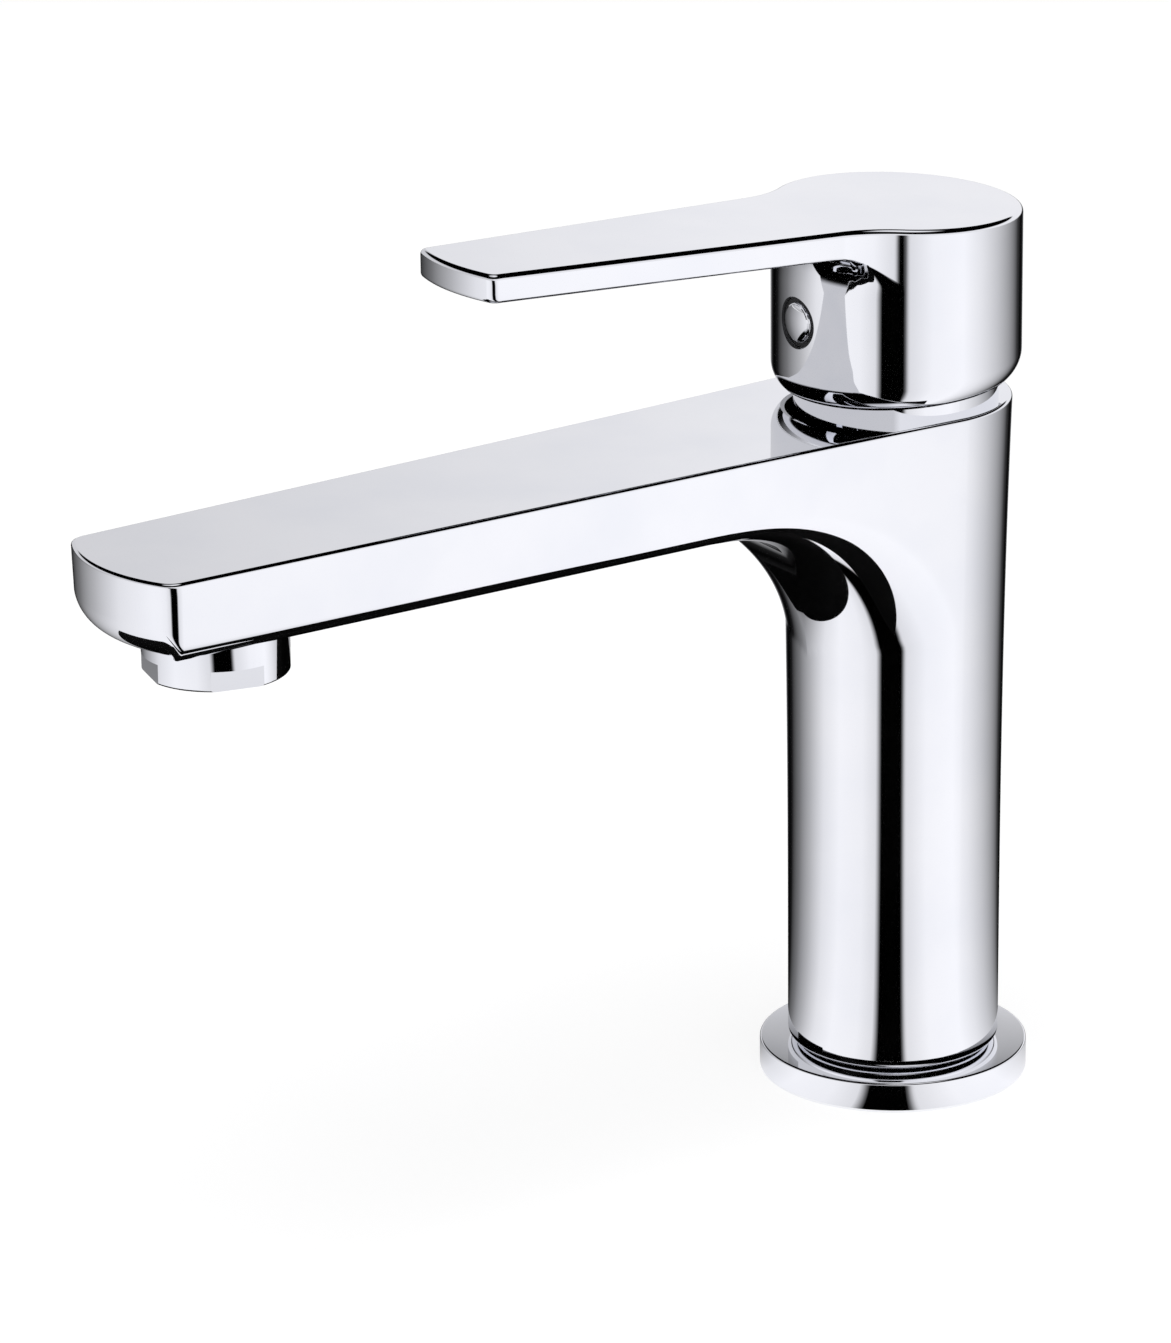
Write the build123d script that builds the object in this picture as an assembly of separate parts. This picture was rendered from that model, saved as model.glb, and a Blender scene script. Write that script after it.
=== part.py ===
from build123d import *
from math import atan, cos, degrees, hypot, radians, sin
import os

# Single-lever basin mixer, millimetres, +Z up. The origin is the centre of the
# underside of the base flange. The spout and the lever point to -Y.

# ---- overall sizes ----
TOP_Z = 132.9            # flat top of the body and the spout
SPOUT_REACH = 148.0      # column axis to outlet axis
SPOUT_TIP = 171.3        # column axis to the foremost point of the spout
SPOUT_THICK = 14.8
BODY_TOP_R = 21.4
BODY_FOOT_R = 19.85
HANDLE_R = 23.0
LEVER_LENGTH = 98.0      # column axis to the lever tip
HANDLE_TOP_Z = 169.2     # handle top plane over the column axis

# ---- base ----
FLANGE_R = 25.2
FLANGE_THICK = 5.8
FLANGE_BORE_R = 15.0
SPIGOT_BORE_R = 14.0
FLANGE_EDGE = 0.4
GASKET_IN_R = 17.6
GASKET_OUT_R = 23.4
GASKET_THICK = 1.8
GROOVE_CLEAR = 0.1       # radial room round a ring in its groove
SPIGOT_DEPTH = 4.3       # how far the body dips into the flange
FOOT_ROUND = 2.4
FOOT_FLOOR = 3.4         # thickness of the foot ring under the cavity
FOOT_SEAL_IN_R = 15.6
FOOT_SEAL_OUT_R = 17.1
FOOT_SEAL_THICK = 1.0

# ---- spout and bend ----
BEND_R = 34.0            # sweep of the underside into the column
BEND_STEPS = 6
SPOUT_EDGE_R = 2.5       # lower edges
TIP_CORNER_R = 4.0
TOP_EDGE_R = 0.6
EDGE_GROW = 0.1          # the edge round starts this far outside the skin
SPOUT_MID_HALF = 18.3    # half width of the top at SPOUT_MID_AT
SPOUT_MID_AT = 98.0
SPOUT_SIDE_SLOPE = 0.025
SPOUT_FLARE_AT = 60.0    # from here back the sides flare out to the column
SPOUT_NOSE_RISE = 4.8    # bulge of the nose in front of its corners
SIDE_STEPS = 12
SEAM = 0.03              # keeps two joined skins from lying on each other
BEND_SINK = 0.15         # the bend ends this far inside the column

# ---- water ways ----
CAVITY_R = 16.8          # hollow column for the hoses and the stud
CAVITY_TOP = 66.0
INLET_R = 5.0            # M10 x 1
INLET_DEPTH = 12.0
INLET_X = 7.2
INLET_Y = -5.0
PASSAGE_R = 3.2
STUD_R = 4.0             # M8
STUD_DEPTH = 16.0
STUD_Y = 9.6
CHANNEL_LOW = 122.6
CHANNEL_HIGH = 130.0
CHANNEL_HALF = 11.0
CHANNEL_NEAR_AERATOR = 126.4
OUTLET_R = 3.6
OUTLET_Y = 6.2
CROSS_HALF = 2.8         # mixed-water way between the two inlets

# ---- ceramic cartridge, 35 mm size ----
SEAT_Z = 100.0
CHAMBER_R = 18.4
CHAMBER_TOP = 119.6
SEAL_BORE_R = 17.7
HOUSING_R = 17.5
HOUSING_TOP_SHOULDER = 126.5
NUT_THREAD_R = 18.6
BASE_THICK = 7.4
BASE_SPIGOT = 1.0
BASE_R = 17.4
CAV_R = 14.6             # inside of the housing
NECK_OUT_R = 15.0
NECK_TOP = 138.0
NECK_LEDGE = 123.5       # underside of the neck shoulder inside
ROTOR_R = 12.45
RUN_CLEAR = 0.05         # turning fit, per side
MOVE_GAP = 0.35          # least gap between parts that move past each other
DISC_THICK = 3.5
FIXED_DISC_R = 14.0
MOVING_DISC_R = 11.0
CARRIER_FLAT = 9.6
RAIL_THICK = 2.0
PIVOT_Y = 3.0
PIVOT_Z = 140.5
BALL_Z = 118.4
BALL_R = 2.5
LIFT_MAX = 15.0          # degrees
SWIVEL_MAX = 50.0        # degrees each way
STEM_HALF = 3.9
STEM_TOP = 163.0
ARM_HALF = 2.3
PIN_R = 1.25
ROTOR_TOP = 142.8
RING_SEAL_THICK = 1.6
HOUSING_GROOVE_Z = 121.6
ROTOR_GROOVE_Z = 128.0
GROOVE_DEEP = 1.0

# ---- nut and trim ring ----
NUT_LOW = 126.5
NUT_HIGH = 137.4
NUT_UPPER_R = 17.8
NUT_BORE_R = 15.2
COLLAR_R = 18.9
COLLAR_HIGH = 138.5
COLLAR_WALL = 0.8

# ---- handle ----
SKIRT_TILT = 3.6         # degrees, the rear edge sits higher
SKIRT_LOW_Z = 136.6      # skirt edge over the column axis
SKIRT_IN_R = 20.5
SKIRT_TUCK_R = 5.5
TOP_TILT = 2.9           # degrees, the lever tip sits higher
LEVER_THICK = 5.2
LEVER_TIP_HALF = 11.5
LEVER_ROOT_HALF = 16.4
LEVER_NECK_R = 20.0
LEVER_UNDER_R = 5.0
ROOF_THICK = 4.0
HANDLE_EDGE_R = 0.8
LEVER_LOW_EDGE_R = 0.8
BOSS_HALF = 7.0
BOSS_FRONT = 8.0         # in front of the stem
BOSS_REAR = 7.5          # behind the stem axis
BOSS_LOW = 146.8
SOCKET_CLEAR = 0.08
SCREW_Z = 150.0
SCREW_R = 2.5
PLUG_R = 4.8
PLUG_HOLE_CLEAR = 0.06
PLUG_DOME = 0.7

# ---- aerator, M24 x 1 ----
AER_R = 12.95
AER_LOW = 109.8
AER_THREAD_R = 11.9
AER_THREAD_TOP = 122.6
AER_PORT_R = 12.0
AER_BORE_R = 10.7
AER_LIP_R = 9.7
AER_LIP = 0.8
AER_FLAT = 12.03         # half the width across the flats
AER_FLAT_HIGH = 3.7
AER_FLAT_TURN = 14.0     # degrees
AER_WASHER = 1.6

# ---- derived ----
UNDER_Z = TOP_Z - SPOUT_THICK
SPIGOT_R = FLANGE_BORE_R - GROOVE_CLEAR
SPIGOT_LOW = FLANGE_THICK - SPIGOT_DEPTH
BASE_TOP = SEAT_Z + BASE_THICK
DISC_Z = BASE_TOP + BASE_SPIGOT
MOVE_Z = DISC_Z + DISC_THICK + RUN_CLEAR
CARRIER_Z = MOVE_Z + DISC_THICK
CARRIER_TOP = BALL_Z + 2.2
ROTOR_LOW = CARRIER_TOP + MOVE_GAP
FLANGE_TOP = NECK_LEDGE - MOVE_GAP
ARM = PIVOT_Z - BALL_Z
SLIDE = ARM * radians(LIFT_MAX)
DISC_REST_Y = SLIDE / 2
STEM_SLOT = STEM_HALF + MOVE_GAP + 0.05
PORT_Z = AER_THREAD_TOP + AER_WASHER
RING_IN_R = ROTOR_R + MOVE_GAP
SPOUT_END_AT = SPOUT_TIP - SPOUT_NOSE_RISE
BEND_LOW = UNDER_Z - SEAM - BEND_R
CENTRE_LOW = (Align.CENTER, Align.CENTER, Align.MIN)


def disc(r, z0, z1, x=0.0, y=0.0):
    """A round bar standing between two heights."""
    return Pos(x, y, z0) * Cylinder(r, z1 - z0, align=CENTRE_LOW)


def ring(r_in, r_out, z0, z1, x=0.0, y=0.0):
    """A plain ring standing between two heights."""
    return disc(r_out, z0, z1, x, y) - disc(r_in, z0 - 1, z1 + 1, x, y)


def block(x0, x1, y0, y1, z0, z1):
    """A box given by its limits."""
    mid = ((x0 + x1) / 2, (y0 + y1) / 2, (z0 + z1) / 2)
    return Pos(*mid) * Box(x1 - x0, y1 - y0, z1 - z0)


def bar_y(r, y0, y1, z, x=0.0):
    """A round bar lying along Y."""
    return Pos(x, (y0 + y1) / 2, z) * Rot(90, 0, 0) * Cylinder(r, y1 - y0)


def spout_half(y):
    """Half width of the spout's top a distance y in front of the column axis."""
    straight = SPOUT_MID_HALF - SPOUT_SIDE_SLOPE * (y - SPOUT_MID_AT)
    if y >= SPOUT_FLARE_AT:
        return straight
    at_root = SPOUT_MID_HALF + SPOUT_SIDE_SLOPE * SPOUT_MID_AT
    flare = (BODY_TOP_R - at_root) * ((SPOUT_FLARE_AT - y) / SPOUT_FLARE_AT) ** 2
    return straight + flare


def column_radius(z):
    """Outside radius of the column at a height."""
    t = z / TOP_Z
    return BODY_FOOT_R + (BODY_TOP_R - BODY_FOOT_R) * t ** 3


BEND_START = column_radius(BEND_LOW) + SEAM + BEND_R
DRAFT = degrees(atan((BODY_TOP_R - column_radius(UNDER_Z)) / SPOUT_THICK))


# ---------------------------------------------------------------- base
def base_flange():
    plate = disc(FLANGE_R, 0, FLANGE_THICK)
    plate = fillet(plate.edges().group_by(Axis.Z)[-1], FLANGE_EDGE)
    plate -= disc(FLANGE_BORE_R, -1, FLANGE_THICK + 1)
    groove = ring(GASKET_IN_R - GROOVE_CLEAR, GASKET_OUT_R + GROOVE_CLEAR, -1, GASKET_THICK)
    return plate - groove


def base_gasket():
    return ring(GASKET_IN_R, GASKET_OUT_R, 0, GASKET_THICK)


def foot_seal():
    low = FLANGE_THICK
    return ring(FOOT_SEAL_IN_R, FOOT_SEAL_OUT_R, low, low + FOOT_SEAL_THICK)


# ---------------------------------------------------------------- body
def column():
    """The tapering column, its foot rounded under."""
    foot = FLANGE_THICK
    lean = cos(radians(45))
    r_foot = column_radius(foot)
    heights = [foot + FOOT_ROUND, 45.0, 85.0, 110.0, TOP_Z]
    skin = [(column_radius(z) + SEAM, z) for z in heights]
    start = (r_foot - FOOT_ROUND, foot)
    mid = (r_foot - FOOT_ROUND * (1 - lean), foot + FOOT_ROUND * (1 - lean))
    edges = [
        Line((0, foot), start),
        ThreePointArc(start, mid, skin[0]),
        Spline(*skin),
        Line(skin[-1], (0, TOP_Z)),
        Line((0, TOP_Z), (0, foot)),
    ]
    face = make_face(Plane.XZ * Wire(edges))
    return revolve(face, Axis.Z)


def top_outline(grow=0.0):
    """The body from above: round over the column, tapering along the spout."""
    stops = [SPOUT_END_AT * k / SIDE_STEPS for k in range(SIDE_STEPS + 1)]
    side = [(spout_half(y) + grow, -y) for y in stops]
    flare = 2 * (BODY_TOP_R - SPOUT_MID_HALF - SPOUT_SIDE_SLOPE * SPOUT_MID_AT) / SPOUT_FLARE_AT
    root_slope = SPOUT_SIDE_SLOPE + flare
    near = Spline(*side, tangents=[(-root_slope, -1), (-SPOUT_SIDE_SLOPE, -1)])
    mirrored = [(-x, y) for x, y in reversed(side)]
    far = Spline(*mirrored, tangents=[(-SPOUT_SIDE_SLOPE, 1), (-root_slope, 1)])
    nose = ThreePointArc(side[-1], (0, -SPOUT_TIP - grow), mirrored[0])
    back_r = BODY_TOP_R + grow
    back = ThreePointArc((-back_r, 0), (0, back_r), (back_r, 0))
    return make_face(Wire([near, nose, far, back]))


def spout_slab():
    """The flat part of the spout, its lower edges and its tip rounded."""
    slab = extrude(Plane((0, 0, TOP_Z)) * top_outline(), amount=-SPOUT_THICK, taper=DRAFT)
    corners = [e for e in slab.edges() if e.bounding_box().size.Z > 10 and e.center().Y < -100]
    slab = fillet(corners, TIP_CORNER_R)
    slab = fillet([e for e in slab.edges() if e.bounding_box().max.Z < UNDER_Z + 0.01], SPOUT_EDGE_R)
    return slab & block(-40, 40, -200, 0.6 - BEND_START, UNDER_Z - 1, TOP_Z + 1)


def top_rounding():
    """A tall block round the body whose rounded rim trims the body's top edge."""
    block_in = extrude(top_outline(EDGE_GROW), TOP_Z)
    corners = [e for e in block_in.edges() if e.bounding_box().size.Z > 10 and e.center().Y < -100]
    block_in = fillet(corners, TIP_CORNER_R + EDGE_GROW)
    return fillet([e for e in block_in.edges() if e.center().Z > TOP_Z - 0.01], TOP_EDGE_R)


def skin_half(y, z):
    """Half width of the body in front of the column axis, at a height."""
    return spout_half(max(-y, 0.0)) * column_radius(z) / BODY_TOP_R + SEAM


def bend_section(turn):
    """One cross-section of the bend, turned about the axis of its sweep."""
    share = turn / 90.0
    rise, run = cos(radians(turn)), sin(radians(turn))
    sink = BEND_SINK * share ** 2

    def half(out):
        return skin_half(out * run - BEND_START, BEND_LOW + out * rise) - sink

    limits = [BEND_START / max(run, 0.01), (TOP_Z - BEND_LOW) / max(rise, 0.01)]
    back = min(limits) + 2.0
    corner = SPOUT_EDGE_R + (column_radius(BEND_LOW) - 0.4 - SPOUT_EDGE_R) * share ** 2
    low = BEND_R + sink
    side, rear = half(low + corner), half(back)
    cut = corner * (1 - cos(radians(45)))
    edges = [
        Line((-rear, back), (-side, low + corner)),
        ThreePointArc((-side, low + corner), (cut - side, low + cut), (corner - side, low)),
        Line((corner - side, low), (side - corner, low)),
        ThreePointArc((side - corner, low), (side - cut, low + cut), (side, low + corner)),
        Line((side, low + corner), (rear, back)),
        Line((rear, back), (-rear, back)),
    ]
    frame = Plane(origin=(0, -BEND_START, BEND_LOW), x_dir=(1, 0, 0), z_dir=(0, -rise, run))
    return frame * make_face(Wire(edges))


def bend():
    """The underside of the spout sweeping down into the front of the column."""
    turns = [90.0 * k / BEND_STEPS for k in range(BEND_STEPS + 1)]
    sweep = loft([bend_section(turn) for turn in turns])
    return sweep & block(-40, 40, -90, 0.5, 0, TOP_Z)


def spout_channel():
    """Waterway from the cartridge chamber to the aerator, seen from the side."""
    end = -SPOUT_REACH - 2.0
    outline = [
        (-16.0, 108.0),
        (-25.5, 109.5),
        (-33.0, 115.4),
        (-42.0, 120.3),
        (-52.0, CHANNEL_LOW),
        (-SPOUT_REACH + 24.0, CHANNEL_LOW),
        (-SPOUT_REACH + 14.0, CHANNEL_NEAR_AERATOR),
        (end, CHANNEL_NEAR_AERATOR),
        (end, CHANNEL_HIGH),
        (-44.0, CHANNEL_HIGH),
        (-28.0, 124.0),
        (-16.0, 118.0),
    ]
    face = make_face(Plane.YZ * Polyline(*outline, close=True))
    return extrude(face, amount=CHANNEL_HALF, both=True)


def aerator_port():
    port = disc(AER_PORT_R, UNDER_Z - 5, PORT_Z, 0, -SPOUT_REACH)
    return port + disc(AER_LIP_R, PORT_Z - 1, CHANNEL_HIGH, 0, -SPOUT_REACH)


def cartridge_bore():
    bore = disc(CHAMBER_R, SEAT_Z, CHAMBER_TOP)
    bore += disc(SEAL_BORE_R, CHAMBER_TOP - 1, NUT_LOW)
    return bore + disc(NUT_THREAD_R, NUT_LOW, TOP_Z + 1)


def inlet_bores():
    bores = []
    for x in (-INLET_X, INLET_X):
        bores.append(disc(INLET_R, CAVITY_TOP - 1, CAVITY_TOP + INLET_DEPTH, x, INLET_Y))
        bores.append(disc(PASSAGE_R, CAVITY_TOP, SEAT_Z + 1, x, INLET_Y))
    return bores


def body_casting():
    skin = (column() + bend() + spout_slab()) & top_rounding()
    skin += disc(SPIGOT_R, SPIGOT_LOW, FLANGE_THICK + 0.5)
    skin -= disc(SPIGOT_BORE_R, SPIGOT_LOW - 1, FLANGE_THICK + FOOT_FLOOR)
    skin -= disc(CAVITY_R, FLANGE_THICK + FOOT_FLOOR, CAVITY_TOP)
    in_r = FOOT_SEAL_IN_R - GROOVE_CLEAR
    out_r = FOOT_SEAL_OUT_R + GROOVE_CLEAR
    skin -= ring(in_r, out_r, FLANGE_THICK - 1, FLANGE_THICK + FOOT_SEAL_THICK)
    skin -= inlet_bores()
    skin -= disc(STUD_R, CAVITY_TOP - 1, CAVITY_TOP + STUD_DEPTH, 0, STUD_Y)
    skin -= cartridge_bore()
    skin -= spout_channel()
    return skin - aerator_port()


# ---------------------------------------------------------------- cartridge
def retaining_nut():
    nut = disc(NUT_THREAD_R, NUT_LOW, TOP_Z - 0.4) + disc(NUT_UPPER_R, TOP_Z - 1, NUT_HIGH)
    nut -= disc(NUT_BORE_R, NUT_LOW - 1, NUT_HIGH + 1)
    for turn in (0, 90, 180, 270):
        nut -= Rot(0, 0, turn) * block(NUT_BORE_R - 1, 30, -2, 2, NUT_HIGH - 1.6, NUT_HIGH + 1)
    return nut


def trim_collar():
    shell = disc(COLLAR_R, TOP_Z, COLLAR_HIGH)
    shell = fillet(shell.edges().group_by(Axis.Z)[-1], 0.6)
    shell -= disc(COLLAR_R - COLLAR_WALL, TOP_Z - 1, NUT_HIGH)
    return shell - disc(NECK_OUT_R + 0.1, TOP_Z, COLLAR_HIGH + 1)


def cartridge_housing():
    shell = disc(HOUSING_R, BASE_TOP, HOUSING_TOP_SHOULDER) + disc(NECK_OUT_R, NUT_LOW - 1, NECK_TOP)
    shell -= disc(CAV_R, BASE_TOP - 1, NECK_LEDGE)
    shell -= disc(ROTOR_R + RUN_CLEAR, NECK_LEDGE - 1, NECK_TOP + 1)
    low = HOUSING_GROOVE_Z
    return shell - ring(HOUSING_R - GROOVE_DEEP, HOUSING_R + 1, low, low + RING_SEAL_THICK + 0.2)


def housing_seal():
    low = HOUSING_GROOVE_Z + 0.1
    return ring(HOUSING_R - GROOVE_DEEP, SEAL_BORE_R, low, low + RING_SEAL_THICK)


def port_places():
    """Plan positions and radii of the two inlets and the outlet."""
    return [(-INLET_X, INLET_Y, PASSAGE_R), (INLET_X, INLET_Y, PASSAGE_R), (0, OUTLET_Y, OUTLET_R)]


def cartridge_base():
    plate = disc(BASE_R, SEAT_Z, BASE_TOP) + disc(CAV_R - 0.2, BASE_TOP - 1, DISC_Z)
    for x, y, r in port_places()[:2]:
        plate -= disc(r, SEAT_Z - 1, DISC_Z + 1, x, y)
        plate -= disc(r + 1.6, SEAT_Z - 1, SEAT_Z + 0.9, x, y)
    plate -= disc(OUTLET_R, SEAT_Z + 2.0, DISC_Z + 1, 0, OUTLET_Y)
    plate -= block(-CROSS_HALF, CROSS_HALF, -20, OUTLET_Y, SEAT_Z + 2.0, SEAT_Z + 5.4)
    for x, y, r in port_places():
        plate -= disc(r + 1.1, DISC_Z - 0.9, DISC_Z + 1, x, y)
    return plate


def inlet_seals():
    rings = [ring(r + 0.1, r + 1.5, SEAT_Z, SEAT_Z + 0.9, x, y) for x, y, r in port_places()[:2]]
    return Compound(rings)


def disc_seals():
    rings = [ring(r + 0.05, r + 1.0, DISC_Z - 0.9, DISC_Z, x, y) for x, y, r in port_places()]
    return Compound(rings)


def fixed_disc():
    plate = disc(FIXED_DISC_R, DISC_Z, DISC_Z + DISC_THICK)
    for x, y, r in port_places():
        plate -= disc(r - 0.3, DISC_Z - 1, DISC_Z + DISC_THICK + 1, x, y)
    for turn in (0, 120, 240):
        plate -= Rot(0, 0, turn) * block(-1.2, 1.2, FIXED_DISC_R - 1.0, 20, DISC_Z - 1, DISC_Z + 10)
    return plate


def moving_disc():
    y = DISC_REST_Y
    plate = disc(MOVING_DISC_R, MOVE_Z, MOVE_Z + DISC_THICK, 0, y)
    pocket = disc(MOVING_DISC_R - 1.6, MOVE_Z - 1, MOVE_Z + 1.8, 0, y)
    pocket -= block(-20, 20, y - 20, y - 4.6, MOVE_Z - 2, MOVE_Z + 3)
    plate -= pocket
    for side in (-1, 1):
        x0, x1 = sorted((side * CARRIER_FLAT, side * 20))
        plate -= block(x0, x1, y - 2.1, y + 2.1, MOVE_Z + DISC_THICK - 1.8, MOVE_Z + 10)
    return plate


def disc_carrier():
    y = DISC_REST_Y
    puck = disc(MOVING_DISC_R, CARRIER_Z, CARRIER_TOP, 0, y)
    keep = block(-CARRIER_FLAT, CARRIER_FLAT, y - 20, y + 20, CARRIER_Z - 1, CARRIER_TOP + 1)
    tab_z = CARRIER_Z + 0.4
    keep += block(-30, 30, y - 2, y + 2, CARRIER_Z - 1, tab_z)
    puck = puck & keep
    for side in (-1, 1):
        x0, x1 = sorted((side * (CARRIER_FLAT + 0.1), side * (MOVING_DISC_R - 0.3)))
        puck += block(x0, x1, y - 2, y + 2, CARRIER_Z - 1.6, tab_z)
    hole = BALL_R + MOVE_GAP
    return puck - block(-hole, hole, PIVOT_Y - hole, PIVOT_Y + hole, CARRIER_Z - 1, CARRIER_TOP + 1)


def stop_sector(z0, z1, r0, r1, middle, half):
    """A sector of a ring about the column axis; angles from the rear."""
    arc = ring(r0, r1, z0, z1)
    span = 30.0
    a0 = radians(middle - half + 90)
    a1 = radians(middle + half + 90)
    points = [(0, 0), (span * cos(a0), span * sin(a0)), (span * cos(a1), span * sin(a1))]
    wedge = extrude(Plane((0, 0, z0 - 1)) * make_face(Polyline(*points, close=True)), z1 - z0 + 2)
    return arc & wedge


def stem_rotor():
    neck = disc(ROTOR_R, ROTOR_LOW, ROTOR_TOP) + disc(CAV_R - MOVE_GAP, ROTOR_LOW, FLANGE_TOP)
    for side in (-1, 1):
        x0 = CARRIER_FLAT + MOVE_GAP + 0.05
        a, b = sorted((side * x0, side * (x0 + RAIL_THICK)))
        neck += block(a, b, -5.5, 5.5, CARRIER_Z + 0.4 + MOVE_GAP, ROTOR_LOW + 1)
    neck += stop_sector(NECK_TOP + 2 + MOVE_GAP, ROTOR_TOP - 0.3, ROTOR_R - 1, ROTOR_R + 1.9, 0, 8)
    neck -= block(-STEM_SLOT, STEM_SLOT, -7.2, 7.7, ROTOR_LOW - 1, ROTOR_TOP + 1)
    low = ROTOR_GROOVE_Z
    neck -= ring(ROTOR_R - GROOVE_DEEP, ROTOR_R + 1, low, low + RING_SEAL_THICK + 0.2)
    return neck - Pos(0, PIVOT_Y, PIVOT_Z) * Rot(0, 90, 0) * Cylinder(PIN_R + 0.01, 40)


def rotor_seal():
    low = ROTOR_GROOVE_Z + 0.1
    return ring(ROTOR_R - GROOVE_DEEP, ROTOR_R, low, low + RING_SEAL_THICK)


def pivot_pin():
    pin = Pos(0, PIVOT_Y, PIVOT_Z) * Rot(0, 90, 0) * Cylinder(PIN_R, 2 * 11.6)
    return chamfer(pin.edges().filter_by(GeomType.CIRCLE), 0.25)


def lever_stem():
    bar = block(-STEM_HALF, STEM_HALF, PIVOT_Y - STEM_HALF, PIVOT_Y + STEM_HALF, 133.0, STEM_TOP)
    bar = chamfer(bar.edges().filter_by(Axis.Z), 0.5)
    bar += block(-ARM_HALF, ARM_HALF, PIVOT_Y - ARM_HALF, PIVOT_Y + ARM_HALF, BALL_Z + 1.5, 134.0)
    bar += Pos(0, PIVOT_Y, BALL_Z) * Sphere(BALL_R)
    return bar - Pos(0, PIVOT_Y, PIVOT_Z) * Rot(0, 90, 0) * Cylinder(PIN_R + RUN_CLEAR, 40)


def limit_ring():
    low = NECK_TOP
    band = ring(RING_IN_R, NECK_OUT_R - 0.1, low, low + 2.0)
    for side in (-1, 1):
        middle = side * (SWIVEL_MAX + 8 + 2 + 7)
        band += stop_sector(low + 1, low + 4.3, RING_IN_R, NECK_OUT_R - 0.1, middle, 7)
    for k in range(24):
        tooth = Rot(0, 0, 15 * k) * Pos(NECK_OUT_R - 0.1, 0, low + 1)
        band -= tooth * Rot(0, 0, 45) * Box(0.9, 0.9, 4.0, align=CENTRE_LOW)
    return band


# ---------------------------------------------------------------- handle
def below_plane(z, tilt, size=400.0):
    """Everything under a plane tilted about X, rear edge up for a positive tilt."""
    return Pos(0, 0, z) * Rot(tilt, 0, 0) * Pos(0, 0, -size / 2) * Box(size, size, size)


def lever_outline():
    """The round head and the tapering lever, joined by hollow curves."""
    tip = -LEVER_LENGTH
    slope = (LEVER_ROOT_HALF - LEVER_TIP_HALF) / LEVER_LENGTH
    root = LEVER_ROOT_HALF - 8.0 * slope
    near = (LEVER_TIP_HALF, tip + 1.2)
    far = (-LEVER_TIP_HALF, tip + 1.2)
    flat = make_face(Wire([
        Line((-root, -8.0), (root, -8.0)),
        Line((root, -8.0), near),
        ThreePointArc(near, (0, tip - 0.8), far),
        Line(far, (-root, -8.0)),
    ]))
    shape = Sketch() + flat + Circle(HANDLE_R)
    necks = [v for v in shape.vertices() if -30 < v.Y < -10]
    shape = fillet(necks, LEVER_NECK_R)
    tips = [v for v in shape.vertices() if v.Y < tip + 2 and abs(v.X) > 5]
    return fillet(tips, 2.2)


def under_cove():
    """Hollow corner between the underside of the lever and the skirt."""
    r = LEVER_UNDER_R
    inner = HANDLE_R - 2.0
    start = (HANDLE_R + r, 0)
    mid = (HANDLE_R + r * (1 - cos(radians(45))), -r * (1 - sin(radians(45))))
    end = (HANDLE_R, -r)
    edges = [
        Line((inner, 0.5), (HANDLE_R + r, 0.5)),
        Line((HANDLE_R + r, 0.5), start),
        ThreePointArc(start, mid, end),
        Line(end, (inner, -r)),
        Line((inner, -r), (inner, 0.5)),
    ]
    cove = revolve(make_face(Plane.XZ * Wire(edges)), Axis.Z)
    cove &= block(-40, 40, -40, -10, -20, 20)
    return Pos(0, 0, HANDLE_TOP_Z - LEVER_THICK) * Rot(-TOP_TILT, 0, 0) * cove


def handle_skin():
    """Outside of the handle before it is hollowed."""
    top = below_plane(HANDLE_TOP_Z, -TOP_TILT)
    head = disc(HANDLE_R, 120, 180) - below_plane(SKIRT_LOW_Z - 1.5, SKIRT_TILT)
    head = fillet(head.edges().group_by(Axis.Z)[0], SKIRT_TUCK_R)
    head = (head - below_plane(SKIRT_LOW_Z, SKIRT_TILT)) & top
    lever = extrude(Plane((0, 0, 150)) * lever_outline(), 40) & top
    lever -= below_plane(HANDLE_TOP_Z - LEVER_THICK, -TOP_TILT)
    skin = head + lever
    return skin + (under_cove() & extrude(Plane((0, 0, 150)) * lever_outline(), 40) & top)


def round_handle(skin):
    """Rounds the rim of the top face and the lower edges of the lever."""
    top = skin.faces().filter_by(lambda f: f.normal_at().Z > 0.99).sort_by(Axis.Z)[-1]
    skin = fillet(top.outer_wire().edges(), HANDLE_EDGE_R)
    low = []
    for edge in skin.edges():
        box = edge.bounding_box()
        if edge.center().Y < -30 and edge.center().Z < 170 and box.size.Z < 4.5:
            low.append(edge)
    return fillet(low, LEVER_LOW_EDGE_R)


def lever_handle():
    handle = round_handle(handle_skin())
    ceiling = HANDLE_TOP_Z - ROOF_THICK - 0.8
    handle -= disc(SKIRT_IN_R, 120, ceiling)
    front = PIVOT_Y - STEM_HALF - BOSS_FRONT
    boss = block(-BOSS_HALF, BOSS_HALF, front, PIVOT_Y + BOSS_REAR, BOSS_LOW, ceiling + 1)
    boss = fillet(boss.edges().filter_by(Axis.Z), 1.5)
    rib_end = SKIRT_IN_R + 0.2
    boss += block(-rib_end, rib_end, PIVOT_Y - 1, PIVOT_Y + 1, BOSS_LOW + 6, ceiling + 1)
    handle += boss
    s = STEM_HALF + SOCKET_CLEAR
    handle -= block(-s, s, PIVOT_Y - s, PIVOT_Y + s, BOSS_LOW - 1, STEM_TOP + 0.3)
    handle -= bar_y(SCREW_R + 0.03, front - 1, PIVOT_Y, SCREW_Z)
    return handle - bar_y(PLUG_R + PLUG_HOLE_CLEAR, -HANDLE_R - 2, -SKIRT_IN_R + 2, SCREW_Z)


def grub_screw():
    tip = PIVOT_Y - STEM_HALF
    screw = bar_y(SCREW_R, tip - 7.5, tip, SCREW_Z)
    screw = chamfer(screw.edges().filter_by(GeomType.CIRCLE), 0.35)
    key = Plane(origin=(0, tip - 8.5, SCREW_Z), x_dir=(1, 0, 0), z_dir=(0, 1, 0))
    return screw - extrude(key * RegularPolygon(1.25 / cos(radians(30)), 6), 4.0)


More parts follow.
